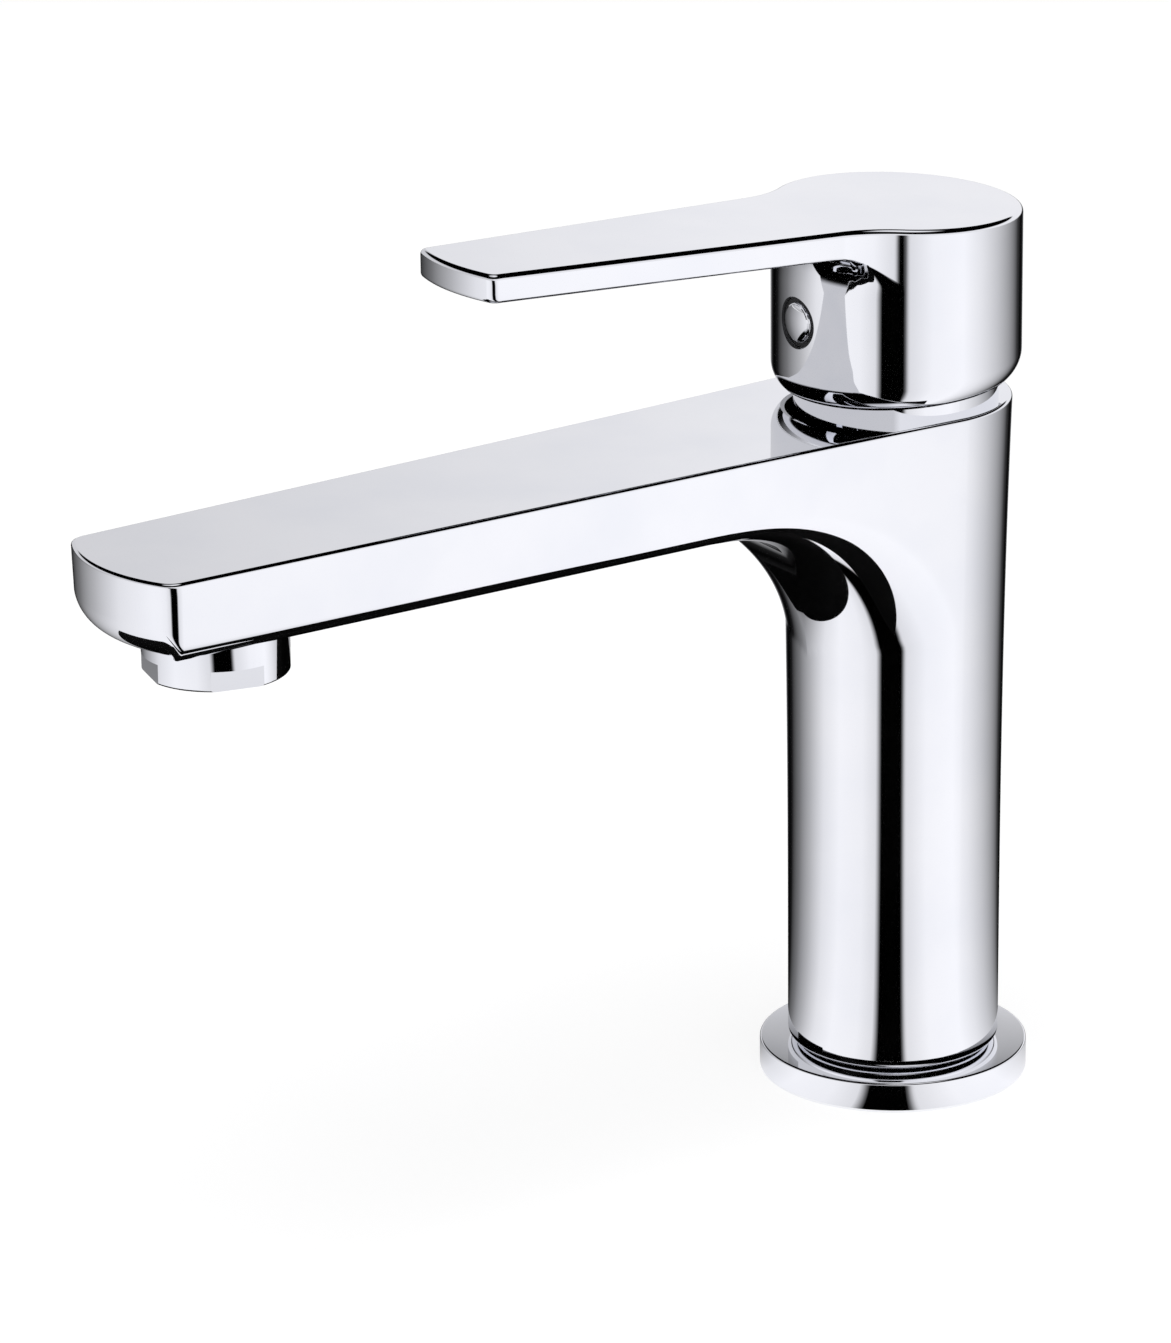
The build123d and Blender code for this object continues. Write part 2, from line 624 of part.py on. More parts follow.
def screw_cover():
    """Domed plug over the screw, with a split stem that grips the hole."""
    face_y = -HANDLE_R + 0.35
    cover = bar_y(PLUG_R, face_y, -SKIRT_IN_R - 0.1, SCREW_Z)
    ball_r = (PLUG_R ** 2 + PLUG_DOME ** 2) / (2 * PLUG_DOME)
    dome = Pos(0, face_y - PLUG_DOME + ball_r, SCREW_Z) * Sphere(ball_r)
    dome &= bar_y(PLUG_R, face_y - PLUG_DOME - 1, face_y + 0.4, SCREW_Z)
    cover += dome
    return cover - bar_y(PLUG_R - 1.0, face_y + 0.8, 0, SCREW_Z)


# ---------------------------------------------------------------- aerator
def aerator_shell():
    y = -SPOUT_REACH
    shell = disc(AER_R, AER_LOW, UNDER_Z - 0.05, 0, y)
    shell = fillet(shell.edges().group_by(Axis.Z)[0], 0.35)
    for turn in (0, 90, 180, 270):
        flat = block(AER_FLAT, 30, -20, 20, AER_LOW - 1, AER_LOW + AER_FLAT_HIGH)
        shell -= Pos(0, y, 0) * Rot(0, 0, turn - AER_FLAT_TURN) * flat
    shell += disc(AER_THREAD_R, UNDER_Z - 1, AER_THREAD_TOP, 0, y)
    shell -= disc(AER_BORE_R, AER_LOW + AER_LIP, AER_THREAD_TOP + 1, 0, y)
    return shell - disc(AER_LIP_R, AER_LOW - 1, AER_LOW + 2, 0, y)


def aerator_washer():
    return ring(AER_LIP_R, AER_PORT_R - 0.3, AER_THREAD_TOP, PORT_Z, 0, -SPOUT_REACH)


def aerator_insert():
    """Cup with air slots that mixes air into the stream."""
    y = -SPOUT_REACH
    low = AER_LOW + AER_LIP + 1.2
    cup = disc(AER_BORE_R - 0.1, low, AER_THREAD_TOP - 0.9, 0, y)
    cup -= disc(AER_BORE_R - 1.5, low + 1.5, AER_THREAD_TOP, 0, y)
    for k in range(12):
        place = Pos(0, y, 0) * Rot(0, 0, 30 * k)
        cup -= place * block(AER_BORE_R - 3, AER_BORE_R + 2, -0.8, 0.8, low + 2.2, low + 5.2)
        cup -= place * disc(0.7, low - 1, low + 3, 6.4)
    return cup


def aerator_screen():
    y = -SPOUT_REACH
    low = AER_THREAD_TOP - 0.9
    plate = disc(AER_BORE_R - 0.1, low, AER_THREAD_TOP, 0, y)
    step = 2.1
    cut = disc(AER_BORE_R - 1.2, low - 1, AER_THREAD_TOP + 1, 0, y)
    for k in range(-5, 6):
        cut -= block(k * step - 0.35, k * step + 0.35, y - 20, y + 20, low - 1, AER_THREAD_TOP + 1)
        cut -= block(-20, 20, y + k * step - 0.35, y + k * step + 0.35, low - 1, AER_THREAD_TOP + 1)
    return plate - cut


def aerator_grid():
    """Outlet grid that straightens the stream."""
    y = -SPOUT_REACH
    low = AER_LOW + AER_LIP
    plate = disc(AER_BORE_R - 0.1, low, low + 1.2, 0, y)
    holes = []
    for row in range(-3, 4):
        for k in range(-4, 5):
            x = 2.5 * k + (1.25 if row % 2 else 0.0)
            dy = 2.2 * row
            if hypot(x, dy) < AER_LIP_R - 1.4:
                holes.append(disc(0.9, low - 1, low + 2, x, y + dy))
    return plate - holes


PARTS = {
    "base_flange": base_flange,
    "base_gasket": base_gasket,
    "foot_seal": foot_seal,
    "body_casting": body_casting,
    "retaining_nut": retaining_nut,
    "trim_collar": trim_collar,
    "cartridge_housing": cartridge_housing,
    "housing_seal": housing_seal,
    "cartridge_base": cartridge_base,
    "inlet_seals": inlet_seals,
    "disc_seals": disc_seals,
    "fixed_disc": fixed_disc,
    "moving_disc": moving_disc,
    "disc_carrier": disc_carrier,
    "stem_rotor": stem_rotor,
    "rotor_seal": rotor_seal,
    "pivot_pin": pivot_pin,
    "lever_stem": lever_stem,
    "limit_ring": limit_ring,
    "lever_handle": lever_handle,
    "grub_screw": grub_screw,
    "screw_cover": screw_cover,
    "aerator_shell": aerator_shell,
    "aerator_washer": aerator_washer,
    "aerator_insert": aerator_insert,
    "aerator_screen": aerator_screen,
    "aerator_grid": aerator_grid,
}

os.makedirs("parts", exist_ok=True)
for name, make in PARTS.items():
    export_step(make(), f"parts/{name}.step")
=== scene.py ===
"""Looks of a single-lever basin mixer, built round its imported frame.

Lengths in the classes are millimetres in the frame's own axes: +Z up, the
spout and the lever point to -Y. Meshes are made in metres.
"""

import logging
import math
from dataclasses import dataclass
from enum import Enum

import bmesh
import bpy
import numpy as np
from mathutils import Matrix, Vector


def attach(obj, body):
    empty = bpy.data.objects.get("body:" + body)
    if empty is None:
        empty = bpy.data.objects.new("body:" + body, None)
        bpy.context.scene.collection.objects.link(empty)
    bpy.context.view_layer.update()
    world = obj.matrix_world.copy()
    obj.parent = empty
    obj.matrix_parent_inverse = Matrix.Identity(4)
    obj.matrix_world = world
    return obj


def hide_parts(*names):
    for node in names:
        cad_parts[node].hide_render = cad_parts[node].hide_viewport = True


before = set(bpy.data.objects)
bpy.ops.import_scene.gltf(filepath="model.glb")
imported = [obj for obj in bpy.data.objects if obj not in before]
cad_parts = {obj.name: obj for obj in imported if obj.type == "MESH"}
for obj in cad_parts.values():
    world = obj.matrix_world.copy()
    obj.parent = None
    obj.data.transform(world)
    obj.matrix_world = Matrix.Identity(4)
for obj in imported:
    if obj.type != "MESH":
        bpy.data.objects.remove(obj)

LOG = logging.getLogger("basin_mixer")
MM = 0.001
FULL_TURN = 2.0 * math.pi
QUARTER = math.pi / 2.0
METAL, NOT_METAL = 1.0, 0.0
CLEAR_COAT_ROUGH = 0.08
CLOUD_SCALE, CLOUD_DETAIL, GRAIN_DETAIL = 46.0, 3.0, 6.0
CLOUD_WORN, CLOUD_BRIGHT = 0.32, 0.62
GLOSS_FROM, GLOSS_TO = 0.3, 0.7
GRAIN_HEIGHT = 0.02 * MM
SHARP_DEGREES = 32.0
EVEN_WEIGHT = 60
MERGE_WITHIN = 1e-7
HALVINGS = 60
GAMMA = 2.2
COOL = 1.03


# ---------------------------------------------------------------- finishes
class Surface(Enum):
    """How a surface was made, which decides the pattern of its grain."""

    PLATED = "plated"
    TURNED = "turned"
    DRAWN = "drawn"
    MOULDED = "moulded"
    LAPPED = "lapped"


@dataclass(frozen=True)
class Finish:
    """One finish of the mixer, with the spread of its colour and its gloss."""

    name: str
    surface: Surface
    colour: tuple[float, float, float]
    worn: tuple[float, float, float]
    metallic: float
    rough_low: float
    rough_high: float
    grain: float
    bump: float
    coat: float = 0.0

    def build(self) -> bpy.types.Material:
        """Makes the node material of this finish.

        Returns:
            The material, with colour, roughness and bump that vary.
        """
        material = bpy.data.materials.new(self.name)
        material.use_nodes = True
        nodes, links = material.node_tree.nodes, material.node_tree.links
        shader = nodes["Principled BSDF"]
        shader.inputs["Metallic"].default_value = self.metallic
        shader.inputs["Coat Weight"].default_value = self.coat
        shader.inputs["Coat Roughness"].default_value = CLEAR_COAT_ROUGH
        place = nodes.new("ShaderNodeTexCoord")
        stretch = nodes.new("ShaderNodeMapping")
        stretch.inputs["Scale"].default_value = self._stretch()
        links.new(place.outputs["Object"], stretch.inputs["Vector"])
        fine = self._noise(nodes, links, stretch, self.grain, GRAIN_DETAIL)
        broad = self._noise(nodes, links, place, CLOUD_SCALE, CLOUD_DETAIL)
        tone = nodes.new("ShaderNodeValToRGB")
        tone.color_ramp.elements[0].position = CLOUD_WORN
        tone.color_ramp.elements[0].color = (*self.worn, 1.0)
        tone.color_ramp.elements[1].position = CLOUD_BRIGHT
        tone.color_ramp.elements[1].color = (*self.colour, 1.0)
        links.new(broad.outputs["Fac"], tone.inputs["Fac"])
        links.new(tone.outputs["Color"], shader.inputs["Base Color"])
        gloss = nodes.new("ShaderNodeMapRange")
        gloss.inputs["From Min"].default_value = GLOSS_FROM
        gloss.inputs["From Max"].default_value = GLOSS_TO
        gloss.inputs["To Min"].default_value = self.rough_low
        gloss.inputs["To Max"].default_value = self.rough_high
        source = broad if self.surface is Surface.PLATED else fine
        links.new(source.outputs["Fac"], gloss.inputs["Value"])
        links.new(gloss.outputs["Result"], shader.inputs["Roughness"])
        relief = nodes.new("ShaderNodeBump")
        relief.inputs["Strength"].default_value = self.bump
        relief.inputs["Distance"].default_value = GRAIN_HEIGHT
        links.new(fine.outputs["Fac"], relief.inputs["Height"])
        links.new(relief.outputs["Normal"], shader.inputs["Normal"])
        return material

    def _stretch(self) -> tuple[float, float, float]:
        """Gives the grain's stretch along each axis."""
        return {
            Surface.TURNED: (0.08, 0.08, 1.0),
            Surface.DRAWN: (0.12, 1.0, 1.0),
        }.get(self.surface, (1.0, 1.0, 1.0))

    @staticmethod
    def _noise(
        nodes: bpy.types.Nodes,
        links: bpy.types.NodeLinks,
        source: bpy.types.Node,
        scale: float,
        detail: float,
    ) -> bpy.types.Node:
        """Adds a noise texture fed by a vector node.

        Args:
            nodes: The node list of the material.
            links: The link list of the material.
            source: The node whose first vector output places the noise.
            scale: How fine the noise is, per metre.
            detail: How many octaves it has.

        Returns:
            The noise node.
        """
        noise = nodes.new("ShaderNodeTexNoise")
        noise.inputs["Scale"].default_value = scale
        noise.inputs["Detail"].default_value = detail
        wanted = "Object" if "Object" in source.outputs else "Vector"
        links.new(source.outputs[wanted], noise.inputs["Vector"])
        return noise


def plated(name: str) -> Finish:
    """Gives bright mirror plating under its own name."""
    bright, hazed = (0.90, 0.905, 0.93), (0.86, 0.87, 0.905)
    return Finish(name, Surface.PLATED, bright, hazed, METAL, 0.022, 0.05, 1400.0, 0.012)


def moulded(name: str, colour: tuple[float, float, float]) -> Finish:
    """Gives satin moulded plastic of a colour."""
    worn = tuple(c * 0.86 for c in colour)
    return Finish(name, Surface.MOULDED, colour, worn, NOT_METAL, 0.38, 0.56, 2600.0, 0.35)


def rubber(name: str) -> Finish:
    """Gives black sealing rubber."""
    black, dusty = (0.028, 0.028, 0.03), (0.045, 0.044, 0.043)
    return Finish(name, Surface.MOULDED, black, dusty, NOT_METAL, 0.55, 0.75, 3200.0, 0.5)


def brass(name: str) -> Finish:
    """Gives turned brass with fine tool rings."""
    yellow, dulled = (0.80, 0.60, 0.27), (0.68, 0.48, 0.2)
    return Finish(name, Surface.TURNED, yellow, dulled, METAL, 0.22, 0.36, 5200.0, 0.5)


def steel(name: str) -> Finish:
    """Gives drawn stainless steel."""
    grey, dulled = (0.62, 0.62, 0.63), (0.5, 0.5, 0.51)
    return Finish(name, Surface.DRAWN, grey, dulled, METAL, 0.22, 0.4, 5600.0, 0.4)


def ceramic(name: str, colour: tuple[float, float, float]) -> Finish:
    """Gives lapped white ceramic."""
    worn = tuple(c * 0.93 for c in colour)
    return Finish(name, Surface.LAPPED, colour, worn, NOT_METAL, 0.12, 0.24, 3800.0, 0.15, 0.3)


NODE_FINISHES: dict[str, Finish] = {
    "base_flange": plated("chrome_flange"),
    "base_gasket": rubber("rubber_gasket"),
    "foot_seal": rubber("rubber_foot"),
    "body_casting": plated("chrome_body"),
    "retaining_nut": brass("brass_nut"),
    "trim_collar": plated("chrome_collar"),
    "cartridge_housing": moulded("white_housing", (0.82, 0.82, 0.8)),
    "housing_seal": rubber("rubber_housing"),
    "cartridge_base": moulded("grey_base", (0.32, 0.33, 0.35)),
    "inlet_seals": rubber("rubber_inlets"),
    "disc_seals": rubber("rubber_discs"),
    "fixed_disc": ceramic("ceramic_fixed", (0.9, 0.89, 0.86)),
    "moving_disc": ceramic("ceramic_moving", (0.86, 0.86, 0.84)),
    "disc_carrier": moulded("black_carrier", (0.05, 0.05, 0.055)),
    "stem_rotor": moulded("white_rotor", (0.78, 0.78, 0.76)),
    "rotor_seal": rubber("rubber_rotor"),
    "pivot_pin": steel("steel_pin"),
    "lever_stem": brass("brass_stem"),
    "limit_ring": moulded("red_limit", (0.55, 0.04, 0.03)),
    "lever_handle": plated("chrome_handle"),
    "grub_screw": steel("steel_screw"),
    "screw_cover": plated("chrome_cover"),
    "aerator_shell": plated("chrome_shell"),
    "aerator_washer": rubber("rubber_aerator"),
    "aerator_insert": moulded("blue_insert", (0.75, 0.77, 0.8)),
    "aerator_screen": steel("steel_screen"),
    "aerator_grid": moulded("grey_grid", (0.4, 0.42, 0.45)),
}


# ---------------------------------------------------------------- skins
def smooth_steps(low: float, high: float, count: int) -> np.ndarray:
    """Gives evenly spaced values.

    Args:
        low: The first value.
        high: The last value.
        count: How many values there are.

    Returns:
        The values, both ends among them.
    """
    return np.linspace(low, high, count)


class RingStack:
    """Rings of matched points that close into one skin."""

    def __init__(self, count: int) -> None:
        """Starts an empty stack.

        Args:
            count: How many points each ring has.
        """
        self.count = count
        self.rings: list[np.ndarray] = []

    def add(self, x: np.ndarray, y: np.ndarray, z: np.ndarray | float) -> None:
        """Adds a ring.

        Args:
            x: Positions across.
            y: Positions along the spout.
            z: Heights, or one height.
        """
        self.rings.append(np.stack([x, y, np.broadcast_to(z, x.shape)], axis=1))

    def skin(self, name: str) -> bpy.types.Object:
        """Joins the rings into a closed mesh object.

        Args:
            name: The name of the object.

        Returns:
            The object, in metres.
        """
        n = self.count
        points = np.concatenate(self.rings) * MM
        faces: list[tuple[int, ...]] = [tuple(range(n))]
        for k in range(len(self.rings) - 1):
            a, b = k * n, (k + 1) * n
            for i in range(n):
                j = (i + 1) % n
                faces.append((a + i, a + j, b + j, b + i))
        last = (len(self.rings) - 1) * n
        faces.append(tuple(range(last + n - 1, last - 1, -1)))
        mesh = bpy.data.meshes.new(name)
        mesh.from_pydata(points.tolist(), [], faces)
        bm = bmesh.new()
        bm.from_mesh(mesh)
        bmesh.ops.recalc_face_normals(bm, faces=bm.faces)
        bm.to_mesh(mesh)
        bm.free()
        mesh.polygons.foreach_set("use_smooth", [True] * len(mesh.polygons))
        mesh.set_sharp_from_angle(angle=math.radians(SHARP_DEGREES))
        piece = bpy.data.objects.new(name, mesh)
        bpy.context.scene.collection.objects.link(piece)
        even = piece.modifiers.new("even_normals", "WEIGHTED_NORMAL")
        even.keep_sharp = True
        even.weight = EVEN_WEIGHT
        return piece


def full_circle(count: int) -> tuple[np.ndarray, np.ndarray]:
    """Gives the cosines and sines of evenly spaced bearings, once round."""
    bearing = smooth_steps(0.0, FULL_TURN, count + 1)[:-1]
    return np.cos(bearing), np.sin(bearing)


@dataclass(frozen=True)
class Outline:
    """A closed outline seen from above, with its outward normals."""

    x: np.ndarray
    y: np.ndarray
    nx: np.ndarray
    ny: np.ndarray

    @property
    def radius(self) -> np.ndarray:
        """Gives each point's distance from the column axis."""
        return np.hypot(self.x, self.y)

    def inset(self, depth: np.ndarray | float) -> tuple[np.ndarray, np.ndarray]:
        """Moves the outline inwards.

        Args:
            depth: How far, for all points or for each.

        Returns:
            The positions across and along.
        """
        return self.x - self.nx * depth, self.y - self.ny * depth

    def circle(self, r: np.ndarray | float) -> tuple[np.ndarray, np.ndarray]:
        """Puts each point at a distance from the axis, keeping its bearing."""
        return self.x / self.radius * r, self.y / self.radius * r


def mirrored_outline(half: list[tuple[float, float, float, float]]) -> Outline:
    """Closes half an outline with its mirror image.

    Args:
        half: Points and normals from the rear centre to the front centre.

    Returns:
        The whole outline.
    """
    other = [(-x, y, -nx, ny) for x, y, nx, ny in reversed(half[1:-1])]
    table = np.array(half + other)
    return Outline(*(table[:, k] for k in range(4)))


def rounded(
    r: float, z: float, radius: float, start: float, stop: float, steps: int = 6
) -> list[tuple[float, float]]:
    """Gives the points of a rounded edge in a turned profile.

    Args:
        r: Radius of the round's centre.
        z: Height of the round's centre.
        radius: Size of the round.
        start: First bearing in degrees, 0 outwards and 90 up.
        stop: Last bearing in degrees.
        steps: How many points there are.

    Returns:
        Radius and height of each point.
    """
    turns = np.radians(smooth_steps(start, stop, steps))
    return [(r + radius * math.cos(t), z + radius * math.sin(t)) for t in turns]


class Dresser:
    """Gives the frame's nodes and the new skins their finishes."""

    def __init__(self) -> None:
        """Builds each finish once."""
        self.materials = {f.name: f.build() for f in NODE_FINISHES.values()}

    def dress_node(self, node: str) -> None:
        """Puts a node's finish on it.

        Args:
            node: The name of the frame node.
        """
        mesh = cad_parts[node].data
        mesh.materials.clear()
        mesh.materials.append(self.materials[NODE_FINISHES[node].name])
        LOG.info("dressed %s in %s", node, NODE_FINISHES[node].name)

    def dress_skin(self, piece: bpy.types.Object, node: str, body: str) -> None:
        """Lets a finer skin stand for a node, in the same finish.

        Args:
            piece: The skin.
            node: The node that it stands for.
            body: The body that it moves with.
        """
        piece.data.materials.append(self.materials[NODE_FINISHES[node].name])
        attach(piece, body)
        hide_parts(node)
        LOG.info("built %s for %s, riding on %s", piece.name, node, body)


# ---------------------------------------------------------------- body
@dataclass
class BodySkin:
    """The plated column and spout, one sweep from the foot to the tip."""

    top_z: float = 132.9
    spout_thick: float = 14.8
    tip: float = 171.3
    nose_rise: float = 4.8
    top_r: float = 21.4
    foot_r: float = 19.85
    foot_z: float = 5.8
    foot_round: float = 2.4
    bend_r: float = 34.0
    edge_r: float = 3.2
    nose_edge_r: float = 6.5
    corner_r: float = 4.0
    rim_r: float = 0.7
    mid_half: float = 18.3
    mid_at: float = 98.0
    side_slope: float = 0.025
    flare_at: float = 60.0
    nose_corner_reach: tuple[float, float] = (15.0, 2.0)
    root_len: float = 56.0
    ray_near: float = 10.0
    ray_far: float = 90.0
    cavity_r: float = 16.8
    cavity_top: float = 66.0
    cavity_floor: float = 3.4
    spigot_r: float = 14.9
    spigot_bore: float = 14.0
    spigot_low: float = 1.5
    chamber_r: float = 18.4
    seat_z: float = 100.0
    chamber_top: float = 119.6
    seal_bore_r: float = 17.7
    nut_low: float = 126.5
    thread_r: float = 18.6

    def __post_init__(self) -> None:
        """Works out the sizes that follow from the others."""
        self.under_z = self.top_z - self.spout_thick
        self.bend_low = self.under_z - self.bend_r
        self.bend_start = self.column_radius(self.bend_low) + self.bend_r
        self.draft = (self.top_r - self.column_radius(self.under_z)) / self.spout_thick
        self.outline = self._outline()
        ahead = np.clip((-self.outline.ny - 0.05) / 0.9, 0.0, 1.0) * (self.outline.y < -self.mid_at)
        blend = ahead * ahead * (3.0 - 2.0 * ahead)
        self.edge = self.edge_r + (self.nose_edge_r - self.edge_r) * blend

    def column_radius(self, z: np.ndarray | float) -> np.ndarray | float:
        """Gives the column's outside radius at a height."""
        return self.foot_r + (self.top_r - self.foot_r) * (z / self.top_z) ** 3

    def spout_half(self, d: np.ndarray) -> np.ndarray:
        """Gives half the width of the top, d in front of the axis."""
        straight = self.mid_half - self.side_slope * (d - self.mid_at)
        at_root = self.mid_half + self.side_slope * self.mid_at
        share = np.clip((self.flare_at - d) / self.flare_at, 0.0, None)
        return straight + (self.top_r - at_root) * share ** 2

    def _outline(self) -> Outline:
        """Traces the body from above.

        Returns:
            The outline at the top plane, before its rim is rounded.
        """
        half: list[tuple[float, float, float, float]] = []
        for t in np.radians(smooth_steps(90.0, 0.0, 49)):
            half.append((self.top_r * math.cos(t), self.top_r * math.sin(t), math.cos(t), math.sin(t)))
        end_at = self.tip - self.nose_rise
        end_half = float(self.spout_half(np.array(end_at)))
        nose_r = (end_half ** 2 + self.nose_rise ** 2) / (2.0 * self.nose_rise)
        nose_y = nose_r - self.tip
        lean = math.hypot(1.0, self.side_slope)
        low, high = end_at - self.nose_corner_reach[0], end_at + self.nose_corner_reach[1]
        for _ in range(HALVINGS):
            at = (low + high) / 2.0
            across = float(self.spout_half(np.array(at))) - self.corner_r * lean
            if math.hypot(across, -at - nose_y) < nose_r - self.corner_r:
                low = at
            else:
                high = at
        line_turn = math.atan2(-self.side_slope, 1.0)
        stop_at = at - self.corner_r * math.sin(line_turn)
        near = smooth_steps(0.0, 1.0, 34)[1:-1]
        step = 0.01
        for d in np.concatenate([near * self.root_len, smooth_steps(self.root_len, stop_at, 40)[:-1]]):
            w = float(self.spout_half(np.array(d)))
            ahead, behind = self.spout_half(np.array(d + step)), self.spout_half(np.array(d - step))
            slope = float(ahead - behind) / (2.0 * step)
            size = math.hypot(1.0, slope)
            half.append((w, -float(d), 1.0 / size, slope / size))
        nose_turn = math.atan2(-at - nose_y, across)
        for t in smooth_steps(line_turn, nose_turn, 14):
            x, y = across + self.corner_r * math.cos(t), -at + self.corner_r * math.sin(t)
            half.append((x, y, math.cos(t), math.sin(t)))
        for t in smooth_steps(nose_turn, -QUARTER, 16)[1:]:
            half.append((nose_r * math.cos(t), nose_y + nose_r * math.sin(t), math.cos(t), math.sin(t)))
        return mirrored_outline(half)

    def _inside(self, r: np.ndarray, z: float, rim: float) -> np.ndarray:
        """Tells which points of the rays at a height lie in the casting.

        Args:
            r: Distance from the axis along each outline point's bearing.
            z: The height.
            rim: How far the rim's round has moved in at that height.

        Returns:
            True where a point is inside.
        """
        x, y = self.outline.circle(r)
        x = np.abs(x)
        wall = self.spout_half(np.maximum(-y, 0.0)) * self.column_radius(z) / self.top_r - rim
        ahead, rise = y + self.bend_start, z - self.bend_low
        out, turn = np.hypot(ahead, rise), np.arctan2(ahead, rise)
        share = turn / QUARTER
        grown = self.column_radius(self.bend_low) - self.edge_r
        corner = self.edge_r + grown * share ** 2 * (3.0 - 2.0 * share)
        over = np.clip((x - (wall - corner)) / corner, 0.0, 1.0)
        floor = self.bend_r + corner * (1.0 - np.sqrt(1.0 - over ** 2))
        in_bend = (ahead >= 0.0) & (rise >= 0.0) & (x <= wall) & (out >= floor) & (y <= 0.0)
        return (r <= self.column_radius(z) - rim) | in_bend

    def _ring(self, z: float, rim: float = 0.0) -> tuple[np.ndarray, np.ndarray]:
        """Finds where the rays leave the casting at a height.

        Args:
            z: The height.
            rim: How far the rim's round has moved in.

        Returns:
            The positions across and along.
        """
        low = np.full(self.outline.x.shape, self.ray_near)
        high = np.full(self.outline.x.shape, self.ray_far)
        for _ in range(HALVINGS):
            middle = (low + high) / 2.0
            inside = self._inside(middle, z, rim)
            low, high = np.where(inside, middle, low), np.where(inside, high, middle)
        return self.outline.circle(low)

    def _under_depth(self, z: float) -> np.ndarray:
        """Gives how far the lower edge's round has moved in at a height."""
        gap = np.clip(self.edge - (z - self.under_z), 0.0, self.edge)
        return self.edge - np.sqrt(self.edge ** 2 - gap ** 2)

    def _spout_ring(self, z: float, depth: np.ndarray | float) -> tuple[np.ndarray, np.ndarray]:
        """Finds the ring of the spout and the column at a height.

        Args:
            z: The height.
            depth: How far the rounds have moved in there.

        Returns:
            The positions across and along.
        """
        rim = depth if z > self.top_z - 2.0 * self.rim_r else 0.0
        near_x, near_y = self._ring(z, rim)
        far_x, far_y = self.outline.inset(depth + self.draft * (self.top_z - z))
        far = self.outline.y < -self.bend_start
        return np.where(far, far_x, near_x), np.where(far, far_y, near_y)

    def build(self) -> bpy.types.Object:
        """Builds the skin from the cavity, over the outside, to the seat.

        Returns:
            The object.
        """
        stack = RingStack(len(self.outline.x))
        floor_z = self.foot_z + self.cavity_floor
        inner = [(self.cavity_r, self.cavity_top), (self.cavity_r, floor_z), (self.spigot_bore, floor_z)]
        inner += [(self.spigot_bore, self.spigot_low), (self.spigot_r, self.spigot_low)]
        inner += [(self.spigot_r, self.foot_z)]
        foot_mid = float(self.column_radius(self.foot_z)) - self.foot_round
        inner += rounded(foot_mid, self.foot_z + self.foot_round, self.foot_round, -90.0, 0.0, 9)
        for r, z in inner:
            stack.add(*self.outline.circle(r), z)
        for z in smooth_steps(self.foot_z + self.foot_round, self.bend_low - 4.0, 22)[1:]:
            stack.add(*self._ring(float(z)), float(z))
        for turn in np.radians(smooth_steps(92.0, 0.6, 76)):
            z = self.bend_low + self.bend_r * math.cos(turn)
            if turn < QUARTER:
                stack.add(*self._ring(z), z)
        for turn in np.radians(smooth_steps(0.0, 90.0, 24)):
            z = self.under_z + self.nose_edge_r * (1.0 - math.cos(turn))
            stack.add(*self._spout_ring(z, self._under_depth(z)), z)
        for z in smooth_steps(self.under_z + self.nose_edge_r, self.top_z - self.rim_r, 6)[1:]:
            stack.add(*self._spout_ring(float(z), 0.0), float(z))
        for turn in np.radians(smooth_steps(0.0, 90.0, 6)[1:]):
            z = self.top_z - self.rim_r * (1.0 - math.sin(turn))
            stack.add(*self._spout_ring(z, self.rim_r * (1.0 - math.cos(turn))), z)
        seat = [(self.thread_r, self.top_z), (self.thread_r, self.nut_low)]
        seat += [(self.seal_bore_r, self.nut_low), (self.seal_bore_r, self.chamber_top)]
        seat += [(self.chamber_r, self.chamber_top), (self.chamber_r, self.seat_z)]
        for r, z in seat:
            stack.add(*self.outline.circle(r), z)
        return stack.skin("body_skin")


# ---------------------------------------------------------------- base
@dataclass
class BaseTrim:
    """The plated flange that the body stands on."""

    outer_r: float = 25.2
    thick: float = 5.8
    bore_r: float = 15.0
    edge: float = 0.4
    groove_in: float = 17.5
    groove_out: float = 23.5
    groove_deep: float = 1.8
    face_in: float = 6.0
    foot_edge: float = 0.2
    count: int = 160

    def build(self) -> bpy.types.Object:
        """Turns the flange.

        Returns:
            The object.
        """
        profile = [(self.groove_in, 0.0), (self.bore_r, 0.0), (self.bore_r, self.thick)]
        profile += [(self.outer_r - self.face_in, self.thick)]
        profile += rounded(self.outer_r - self.edge, self.thick - self.edge, self.edge, 90.0, 0.0)
        profile += [(self.outer_r, self.thick / 2.0)]
        profile += rounded(self.outer_r - self.foot_edge, self.foot_edge, self.foot_edge, 0.0, -90.0, 4)
        profile += [(self.groove_out, 0.0), (self.groove_out, self.groove_deep)]
        profile += [(self.groove_in, self.groove_deep)]
        return self._closed(profile)

    def _closed(self, profile: list[tuple[float, float]]) -> bpy.types.Object:
        """Turns a profile that closes on itself, without end faces.

        Args:
            profile: Radius and height of each ring, once round the section.

        Returns:
            The object.
        """
        across, along = full_circle(self.count)
        stack = RingStack(self.count)
        for r, z in profile + profile[:1]:
            stack.add(r * across, r * along, z)
        piece = stack.skin("flange_skin")
        bm = bmesh.new()
        bm.from_mesh(piece.data)
        caps = [f for f in bm.faces if len(f.verts) > 4]
        bmesh.ops.delete(bm, geom=caps, context="FACES_ONLY")
        bmesh.ops.remove_doubles(bm, verts=bm.verts, dist=MERGE_WITHIN)
        bmesh.ops.recalc_face_normals(bm, faces=bm.faces)
        bm.to_mesh(piece.data)
        bm.free()
        piece.data.set_sharp_from_angle(angle=math.radians(SHARP_DEGREES))
        return piece


